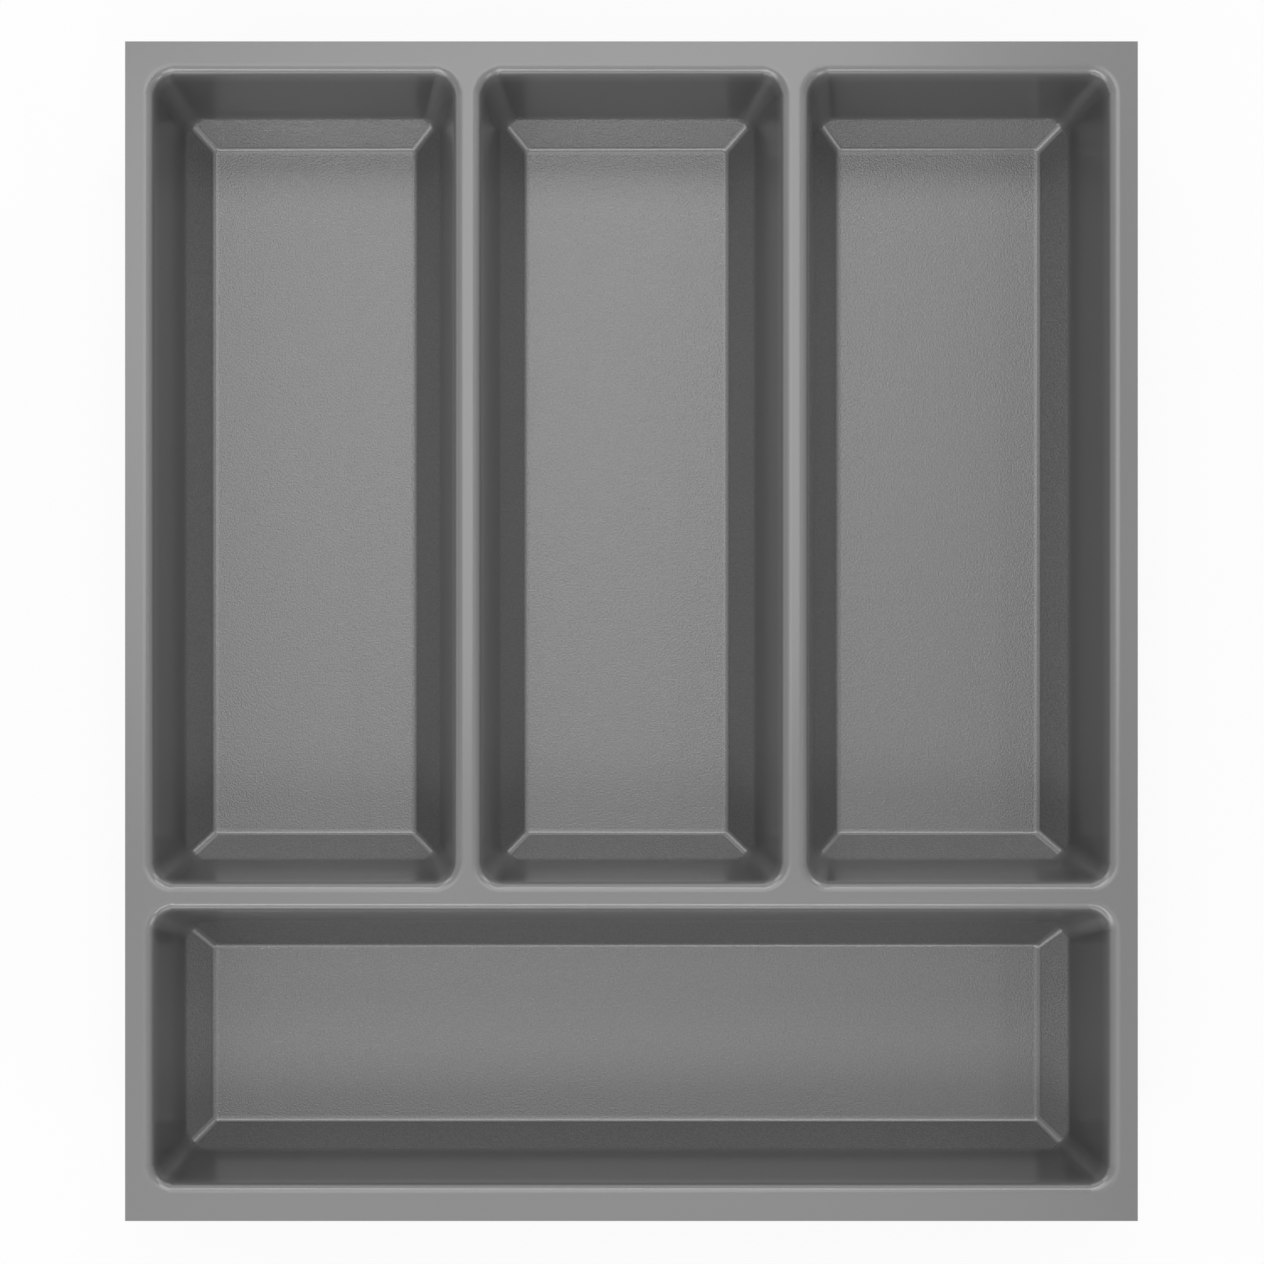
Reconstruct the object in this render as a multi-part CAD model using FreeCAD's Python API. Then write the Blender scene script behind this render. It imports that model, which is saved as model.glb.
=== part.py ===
import FreeCAD, Part
import math
import os

# A cutlery tray for a kitchen drawer, formed from one plastic sheet.
# Millimetres and degrees. X runs across the drawer, Y towards its back, Z up.
# The origin is under the middle of the tray, on the drawer's bottom.

# Overall sizes
tray_width = 370.0
tray_depth = 431.0
tray_height = 50.0
sheet_thickness = 2.0

# Flat borders and dividers, measured between the wall planes where they reach the deck's top face
side_border = 9.9
back_border = 11.5
front_border = 13.1
long_divider_width = 9.4
cross_divider_width = 10.0
front_opening_depth = 100.4
long_compartments = ["left_compartment", "middle_compartment", "right_compartment"]
front_compartment = "front_compartment"

# Section through a compartment: drafted walls, a bevel all round and the flat floor
wall_draft = 10.0
bevel_slope = 46.0
floor_inset = 16.6

# Rounded edges, as seen from above
wall_corner_radius = 7.5
crease_radius = 4.0
foot_radius_share = 0.9  # of the crease radius

# The lip where a wall rolls over into the deck, and the flat strip outside it
lip_under_radius = 2.0
lip_land = 0.4

# How closely an edge has to lie at a height to count as lying there
tolerance_share = 0.001  # of the sheet's thickness

# Values that follow from the sizes above
floor_top = sheet_thickness
under_deck = tray_height - sheet_thickness
draft = math.radians(wall_draft)
slope = math.radians(bevel_slope)
foot_radius = crease_radius * foot_radius_share
lip_radius = lip_under_radius + sheet_thickness
lip_reach = lip_radius * math.tan((math.pi / 2 - draft) / 2)
seam_reach = lip_reach + lip_land
tolerance = sheet_thickness * tolerance_share


class Area:
    """A rectangle seen from above."""

    def __init__(self, left, right, front, back):
        self.left = left
        self.right = right
        self.front = front
        self.back = back

    def inset(self, distance):
        """The rectangle with every side moved inwards."""
        return Area(
            self.left + distance, self.right - distance, self.front + distance, self.back - distance
        )

    def holds(self, box):
        """True where a bounding box lies inside the rectangle, seen from above."""
        inside_x = self.left < box.XMin and box.XMax < self.right
        inside_y = self.front < box.YMin and box.YMax < self.back
        return inside_x and inside_y


def prism(corners, travel):
    """The solid that a flat polygon sweeps along a straight way."""
    return Part.Face(Part.makePolygon(corners + corners[:1])).extrude(travel)


def frustum(lower, bottom, upper, top):
    """The solid with flat sides between a rectangle at the bottom and a larger one at the top."""
    across = [
        FreeCAD.Vector(lower.left, upper.front, bottom),
        FreeCAD.Vector(lower.right, upper.front, bottom),
        FreeCAD.Vector(upper.right, upper.front, top),
        FreeCAD.Vector(upper.left, upper.front, top),
    ]
    along = [
        FreeCAD.Vector(upper.left, lower.front, bottom),
        FreeCAD.Vector(upper.left, lower.back, bottom),
        FreeCAD.Vector(upper.left, upper.back, top),
        FreeCAD.Vector(upper.left, upper.front, top),
    ]
    between_ends = prism(across, FreeCAD.Vector(0, upper.back - upper.front, 0))
    between_sides = prism(along, FreeCAD.Vector(upper.right - upper.left, 0, 0))
    return between_ends.common(between_sides).Solids[0]


def wall_area(opening, height, offset):
    """The walls' outline at a height, on the face that lies an offset outside the inner one."""
    return opening.inset((tray_height - height) * math.tan(draft) - offset / math.cos(draft))


def bevel_area(opening, height, offset):
    """The bevels' outline at a height, on the face that lies an offset outside the inner one."""
    inset = floor_inset - (height - floor_top) / math.tan(slope) - offset / math.sin(slope)
    return opening.inset(inset)


def pocket(opening, offset, top):
    """The solid bounded by walls, bevels and floor, with its faces moved outwards by an offset."""
    bottom = floor_top - offset
    walls = frustum(wall_area(opening, bottom, offset), bottom, wall_area(opening, top, offset), top)
    corners = [edge for edge in walls.Edges if edge.BoundBox.ZLength > tolerance]
    walls = walls.makeFillet(wall_corner_radius + offset, corners)
    bevels = frustum(bevel_area(opening, bottom, offset), bottom, bevel_area(opening, top, offset), top)
    return walls.common(bevels).Solids[0]


def inner_pocket(opening):
    """The compartment's space, with rounded creases, mitres and wall feet."""
    solid = pocket(opening, 0, tray_height)
    creases = [edge for edge in solid.Edges if edge.BoundBox.ZMin < floor_top + tolerance]
    foot_heights = [edge.BoundBox.ZMax for edge in creases]
    solid = solid.makeFillet(crease_radius, creases)
    foot_bottom = (floor_top + max(foot_heights)) / 2
    feet = [
        edge
        for edge in solid.Edges
        if edge.BoundBox.ZMin > foot_bottom and edge.BoundBox.ZMax < tray_height - tolerance
    ]
    return solid.makeFillet(foot_radius, feet)


def outer_pocket(opening):
    """The compartment's space with its sheet, up to the middle of the deck, rounded where it stands."""
    solid = pocket(opening, sheet_thickness, tray_height - sheet_thickness / 2)
    floor_edges = [edge for edge in solid.Edges if edge.BoundBox.ZMax < tolerance]
    return solid.makeFillet(crease_radius + sheet_thickness, floor_edges)


def seam_prism(opening):
    """The deck's thickness inside the line where the lip of a compartment leaves the flat deck."""
    seam = opening.inset(-seam_reach)
    block = Part.makeBox(
        seam.right - seam.left,
        seam.back - seam.front,
        sheet_thickness,
        FreeCAD.Vector(seam.left, seam.front, under_deck),
    )
    corners = [edge for edge in block.Edges if edge.BoundBox.ZLength > tolerance]
    return block.makeFillet(wall_corner_radius + seam_reach, corners)


def level_edges(shape, area, height):
    """The edges of a shape that lie at a height and inside an area."""
    edges = []
    for edge in shape.Edges:
        box = edge.BoundBox
        level = abs(box.ZMin - height) < tolerance and abs(box.ZMax - height) < tolerance
        if level and area.holds(box):
            edges.append(edge)
    return edges


def compartment(opening):
    """One compartment of the sheet: rolled lip, drafted walls, bevel and floor."""
    shell = seam_prism(opening).fuse(outer_pocket(opening)).cut(inner_pocket(opening)).removeSplitter()
    lip_area = opening.inset(-lip_reach)
    shell = shell.makeFillet(lip_radius, level_edges(shell, lip_area, tray_height))
    return shell.makeFillet(lip_under_radius, level_edges(shell, lip_area, under_deck))


def rim_deck(openings):
    """The flat deck: the outer rim and the lands on the dividers, with one hole per compartment."""
    plate = Part.makeBox(
        tray_width,
        tray_depth,
        sheet_thickness,
        FreeCAD.Vector(-tray_width / 2, -tray_depth / 2, under_deck),
    )
    for opening in openings:
        plate = plate.cut(seam_prism(opening))
    return plate


def tray_openings():
    """The compartments' openings in the deck, by node name."""
    openings = {}
    left = -tray_width / 2 + side_border
    right = tray_width / 2 - side_border
    front = -tray_depth / 2 + front_border
    back = tray_depth / 2 - back_border
    row_front = front + front_opening_depth + cross_divider_width
    openings[front_compartment] = Area(left, right, front, front + front_opening_depth)
    count = len(long_compartments)
    opening_width = (right - left - (count - 1) * long_divider_width) / count
    for index, name in enumerate(long_compartments):
        start = left + index * (opening_width + long_divider_width)
        openings[name] = Area(start, start + opening_width, row_front, back)
    return openings


os.makedirs("parts", exist_ok=True)
openings = tray_openings()
nodes = {"rim_deck": rim_deck(openings.values())}
for name, opening in openings.items():
    nodes[name] = compartment(opening)
for name, shape in nodes.items():
    print(name, len(shape.Solids), "solid, valid:", shape.isValid(), shape.BoundBox)
    shape.Solids[0].exportStep("parts/" + name + ".step")
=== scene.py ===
import math

import bpy
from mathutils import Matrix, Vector


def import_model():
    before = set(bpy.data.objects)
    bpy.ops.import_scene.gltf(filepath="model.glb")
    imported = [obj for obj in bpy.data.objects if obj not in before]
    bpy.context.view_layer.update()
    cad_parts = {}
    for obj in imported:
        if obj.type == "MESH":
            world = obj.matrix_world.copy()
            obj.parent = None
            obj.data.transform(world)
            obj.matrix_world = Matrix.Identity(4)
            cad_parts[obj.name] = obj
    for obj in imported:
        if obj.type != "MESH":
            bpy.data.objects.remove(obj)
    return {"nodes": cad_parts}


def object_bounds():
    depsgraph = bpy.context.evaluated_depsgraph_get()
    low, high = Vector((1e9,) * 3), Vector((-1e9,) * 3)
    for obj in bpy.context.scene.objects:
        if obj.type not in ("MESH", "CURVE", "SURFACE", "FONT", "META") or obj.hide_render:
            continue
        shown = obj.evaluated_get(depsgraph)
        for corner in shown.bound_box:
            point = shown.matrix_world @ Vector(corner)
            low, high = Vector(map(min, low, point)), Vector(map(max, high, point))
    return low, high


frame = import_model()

cad_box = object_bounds()

# Metres, watts and linear colours throughout.

# Camera: straight above the tray, a little to the front left of its middle, as in the photo
camera_place = Vector((-0.0360, -0.0427, 0.925))
photo_width_at_rim = 0.4618
photo_centre = Vector((0.0002, -0.0003))

# Soft lights round the tray, aimed at its middle
lamp_aim = Vector((0.0, 0.0, 0.03))
lamps = {
    "overhead_softbox": dict(place=(-0.05, 0.28, 1.30), size=(0.82, 0.66), power=3.9),
    "overhead_front_softbox": dict(place=(0.00, -0.36, 1.30), size=(0.90, 0.40), power=1.15),
    "front_softbox": dict(place=(-0.20, -0.98, 1.08), size=(1.30, 0.32), power=7.5),
    "front_low_strip": dict(place=(-0.25, -1.38, 0.38), size=(1.30, 0.32), power=3.1),
    "back_softbox": dict(place=(0.00, 0.92, 1.14), size=(1.30, 0.30), power=6.9),
    "back_low_strip": dict(place=(0.00, 1.40, 0.42), size=(1.30, 0.45), power=2.4),
    "left_low_strip": dict(place=(-1.42, 0.00, 0.33), size=(1.30, 0.30), power=0.7),
    "left_softbox": dict(place=(-0.95, 0.00, 1.12), size=(1.30, 0.16), power=0.5),
    "right_softbox": dict(place=(0.92, 0.00, 1.15), size=(1.30, 0.10), power=1.2),
    "front_left_corner": dict(place=(-0.89, -0.89, 0.72), size=(0.50, 0.46), power=2.5),
    "front_right_corner": dict(place=(0.89, -0.89, 0.72), size=(0.50, 0.46), power=2.3),
    "back_left_corner": dict(place=(-0.92, 0.92, 0.60), size=(0.50, 0.46), power=2.3),
    "back_right_corner": dict(place=(0.92, 0.92, 0.60), size=(0.50, 0.46), power=2.5),
}

# Surround and floor: both are white where they are seen, and the surround gives hardly any light
white = (1.0, 1.0, 1.0, 1.0)
white_strength = 1.0
unseen_world_colour = (0.01, 0.01, 0.01, 1.0)
floor_size = 8.0
floor_colour = (0.85, 0.85, 0.85, 1.0)
floor_white_share = 0.90  # near the tray, where the rest shows its shadow
floor_fade = (0.5, 1.6)  # distances between which the floor turns wholly white

# Heights in the tray. A pair is where a change begins and where it is complete.
rim_height = cad_box[1].z
crease_start = (0.00205, 0.0022)
crease_end = (0.0029, 0.0033)
grain_end = (0.0118, 0.0153)
deck_start = (0.0420, 0.0480)

# Squared product of a normal's two level parts: zero on floors and bevels, and largest on mitres
mitre_slant = (0.0004, 0.0040)

# Plastic: the deck is a little lighter than the bevels and floors as painted light, and the walls are
# darkest as painted shade
deck_colours_painted_light = ((0.118, 0.118, 0.119, 1.0), (0.132, 0.132, 0.132, 1.0))
wall_colours_painted_shade = ((0.066, 0.066, 0.067, 1.0), (0.075, 0.075, 0.075, 1.0))
# the bevels' and floors' colour runs from painted shade in the pits of the grain to a lighter tone
pan_colours_with_pit_shade = ((0.077, 0.077, 0.078, 1.0), (0.112, 0.112, 0.112, 1.0))
plastic_roughness = (0.33, 0.45)
plastic_ior = 1.5

# Satin skin on the plastic
skin_weight = 1.0
skin_roughness = 0.20
skin_ior = 1.5

# Patterns in the plastic: the size of a cell, the detail in it and the depth of the relief
cloud_cell = 0.11
cloud_detail = 4.0
grain_cell = 0.00065
grain_detail = 1.0
grain_twist = 0.25
grain_depth = 0.00015
# the darker tone is painted shade in the pits of the grain
pit_shade_range = (0.3, 0.7)  # of the pattern, from the darker to the lighter tone
speckle_cell = 0.0006
speckle_detail = 3.0
speckle_depth = 0.000008

# Shading of the formed sheet
smooth_angle = math.radians(35)
weld_distance = 0.000002


class Nodes:
    """A node tree with short calls to add and join nodes."""

    # Places of a mix node's colour sockets, whose names its other sockets share
    mix_share, mix_first, mix_second, mix_result = 0, 6, 7, 2

    def __init__(self, tree):
        self.tree = tree
        tree.nodes.clear()

    def add(self, kind, inputs=None, **settings):
        """A new node, with its inputs joined to other nodes' outputs or set to values."""
        node = self.tree.nodes.new(kind)
        for name, value in settings.items():
            setattr(node, name, value)
        for name, value in (inputs or {}).items():
            if isinstance(value, bpy.types.NodeSocket):
                self.tree.links.new(value, node.inputs[name])
            else:
                node.inputs[name].default_value = value
        return node

    def step(self, value, low, high):
        """Zero below one value, one above another and even between them."""
        inputs = {"Value": value, "From Min": low, "From Max": high}
        return self.add("ShaderNodeMapRange", inputs).outputs["Result"]

    def between(self, share, low, high):
        """A number between two others."""
        inputs = {"Value": share, "To Min": low, "To Max": high}
        return self.add("ShaderNodeMapRange", inputs).outputs["Result"]

    def calculate(self, operation, first, second):
        """One number from two others."""
        return self.add("ShaderNodeMath", {0: first, 1: second}, operation=operation).outputs["Value"]

    def mix(self, share, first, second):
        """A colour between two others."""
        inputs = {self.mix_share: share, self.mix_first: first, self.mix_second: second}
        return self.add("ShaderNodeMix", inputs, data_type="RGBA").outputs[self.mix_result]

    def blend(self, share, first, second):
        """A shader between two others."""
        return self.add("ShaderNodeMixShader", {0: share, 1: first, 2: second}).outputs["Shader"]

    def noise(self, place, cell, detail, twist=0.0):
        """An uneven pattern from zero to one."""
        inputs = {"Vector": place, "Scale": 1 / cell, "Detail": detail, "Distortion": twist}
        return self.add("ShaderNodeTexNoise", inputs).outputs["Fac"]

    def relief(self, pattern, depth, **below):
        """A normal bent by a pattern, on top of the normal below it."""
        inputs = {"Height": pattern, "Distance": depth, "Strength": 1.0, **below}
        return self.add("ShaderNodeBump", inputs).outputs["Normal"]

    def seen(self):
        """One for what is seen straight, in a reflection or through something clear, else zero."""
        path = self.add("ShaderNodeLightPath").outputs
        straight = self.calculate("MAXIMUM", path["Is Camera Ray"], path["Is Glossy Ray"])
        return self.calculate("MAXIMUM", straight, path["Is Transmission Ray"])


def plastic_material():
    """Grey formed plastic: satin, with a leather-like grain on floors and bevels and a fine speckle;
    its colour holds painted light on the deck, painted shade on the walls and painted shade in the pits
    of the grain.
    """
    material = bpy.data.materials.new("grey_plastic")
    material.use_nodes = True
    nodes = Nodes(material.node_tree)
    coordinates = nodes.add("ShaderNodeTexCoord").outputs
    place = coordinates["Object"]
    height = nodes.add("ShaderNodeSeparateXYZ", {"Vector": place}).outputs["Z"]
    facing = nodes.add("ShaderNodeSeparateXYZ", {"Vector": coordinates["Normal"]}).outputs
    speckle = nodes.noise(place, speckle_cell, speckle_detail)
    wrinkles = nodes.noise(place, grain_cell, grain_detail, grain_twist)
    clouds = nodes.noise(place, cloud_cell, cloud_detail)

    # The grain stops at the walls, and it spares the creases and mitres with their highlights
    above_grain = nodes.step(height, *grain_end)
    slant = nodes.calculate("MULTIPLY", facing["X"], facing["Y"])
    on_mitre = nodes.step(nodes.calculate("MULTIPLY", slant, slant), *mitre_slant)
    over_crease = nodes.step(height, *crease_end)
    in_crease = nodes.calculate("SUBTRACT", nodes.step(height, *crease_start), over_crease)
    on_edge = nodes.calculate("MAXIMUM", on_mitre, in_crease)
    smooth = nodes.calculate("MAXIMUM", above_grain, on_edge)
    grain = nodes.calculate("MULTIPLY", wrinkles, nodes.calculate("SUBTRACT", 1.0, smooth))
    fine = nodes.relief(speckle, speckle_depth)
    normal = nodes.relief(grain, grain_depth, Normal=fine)

    # painted shade: the floors and bevels are darker in the pits of the grain
    pan = nodes.mix(nodes.step(wrinkles, *pit_shade_range), *pan_colours_with_pit_shade)
    # the walls' darker colour is painted shade
    pan_and_shaded_walls = nodes.mix(above_grain, pan, nodes.mix(clouds, *wall_colours_painted_shade))
    # the deck's lighter colour is painted light
    colour = nodes.mix(nodes.step(height, *deck_start), pan_and_shaded_walls, nodes.mix(clouds, *deck_colours_painted_light))
    shader = nodes.add(
        "ShaderNodeBsdfPrincipled",
        {
            "Base Color": colour,
            "Roughness": nodes.between(speckle, *plastic_roughness),
            "IOR": plastic_ior,
            "Normal": normal,
            "Coat Weight": skin_weight,
            "Coat Roughness": skin_roughness,
            "Coat IOR": skin_ior,
            "Coat Normal": normal,
        },
    ).outputs["BSDF"]
    nodes.add("ShaderNodeOutputMaterial", {"Surface": shader})
    return material


def smoothing_group():
    """Geometry nodes that weld a node's faces together and shade it smooth between its sharp edges."""
    group = bpy.data.node_groups.new("smooth_between_sharp_edges", "GeometryNodeTree")
    group.interface.new_socket("Geometry", in_out="INPUT", socket_type="NodeSocketGeometry")
    group.interface.new_socket("Geometry", in_out="OUTPUT", socket_type="NodeSocketGeometry")
    nodes = Nodes(group)
    mesh = nodes.add("NodeGroupInput").outputs[0]
    welded = nodes.add("GeometryNodeMergeByDistance", {"Geometry": mesh, "Distance": weld_distance})
    faces = nodes.add(
        "GeometryNodeSetShadeSmooth",
        {"Geometry": welded.outputs[0], "Shade Smooth": True},
        domain="FACE",
    )
    angle = nodes.add("GeometryNodeInputMeshEdgeAngle").outputs["Unsigned Angle"]
    soft = nodes.add(
        "FunctionNodeCompare",
        {"A": angle, "B": smooth_angle},
        data_type="FLOAT",
        operation="LESS_THAN",
    )
    edges = nodes.add(
        "GeometryNodeSetShadeSmooth",
        {"Geometry": faces.outputs[0], "Shade Smooth": soft.outputs[0]},
        domain="EDGE",
    )
    nodes.add("NodeGroupOutput", {0: edges.outputs[0]})
    return group


def dress(node, material, group):
    """Gives a CAD node its plastic and smooth shading."""
    node.data.materials.clear()
    node.data.materials.append(material)
    modifier = node.modifiers.new("smooth", "NODES")
    modifier.node_group = group
    weighted = node.modifiers.new("weighted_normals", "WEIGHTED_NORMAL")
    weighted.keep_sharp = True


def floor():
    """A pale floor, clear from below, seen as white with the tray's faint shadow near its middle."""
    bpy.ops.mesh.primitive_plane_add(size=floor_size, location=(0, 0, 0))
    plane = bpy.context.object
    plane.name = "floor"
    material = bpy.data.materials.new("pale_floor")
    material.use_nodes = True
    nodes = Nodes(material.node_tree)
    pale = nodes.add("ShaderNodeBsdfDiffuse", {"Color": floor_colour}).outputs["BSDF"]
    glow = nodes.add("ShaderNodeEmission", {"Color": white, "Strength": white_strength})
    place = nodes.add("ShaderNodeTexCoord").outputs["Object"]
    distance = nodes.add("ShaderNodeVectorMath", {0: place}, operation="LENGTH").outputs["Value"]
    share = nodes.between(nodes.step(distance, *floor_fade), floor_white_share, 1.0)
    bright = nodes.blend(share, pale, glow.outputs["Emission"])
    upper = nodes.blend(nodes.seen(), pale, bright)
    below = nodes.add("ShaderNodeNewGeometry").outputs["Backfacing"]
    clear = nodes.add("ShaderNodeBsdfTransparent").outputs["BSDF"]
    nodes.add("ShaderNodeOutputMaterial", {"Surface": nodes.blend(below, upper, clear)})
    plane.data.materials.append(material)


def lamp(name, place, size, power):
    """A rectangular soft light that faces the tray."""
    data = bpy.data.lights.new(name, "AREA")
    data.shape = "RECTANGLE"
    data.size, data.size_y = size
    data.energy = power
    light = bpy.data.objects.new(name, data)
    light.location = place
    light.rotation_euler = (lamp_aim - Vector(place)).to_track_quat("-Z", "Y").to_euler()
    bpy.context.collection.objects.link(light)


def world():
    """A surround that is white where it is seen and gives hardly any light."""
    surround = bpy.data.worlds.new("surround")
    surround.use_nodes = True
    nodes = Nodes(surround.node_tree)
    dim = nodes.add("ShaderNodeBackground", {"Color": unseen_world_colour, "Strength": white_strength})
    bright = nodes.add("ShaderNodeBackground", {"Color": white, "Strength": white_strength})
    surface = nodes.blend(nodes.seen(), dim.outputs["Background"], bright.outputs["Background"])
    nodes.add("ShaderNodeOutputWorld", {"Surface": surface})
    bpy.context.scene.world = surround


def camera():
    """Looks straight down, with the photo's picture width at the rim."""
    data = bpy.data.cameras.new("camera")
    data.lens = data.sensor_width * (camera_place.z - rim_height) / photo_width_at_rim
    data.shift_x = (photo_centre.x - camera_place.x) / photo_width_at_rim
    data.shift_y = (photo_centre.y - camera_place.y) / photo_width_at_rim
    eye = bpy.data.objects.new("camera", data)
    eye.location = camera_place
    bpy.context.collection.objects.link(eye)
    bpy.context.scene.camera = eye


material = plastic_material()
group = smoothing_group()
for node in frame["nodes"].values():
    dress(node, material, group)
floor()
for name, settings in lamps.items():
    lamp(name, **settings)
world()
camera()
bpy.context.scene.view_settings.view_transform = "Standard"
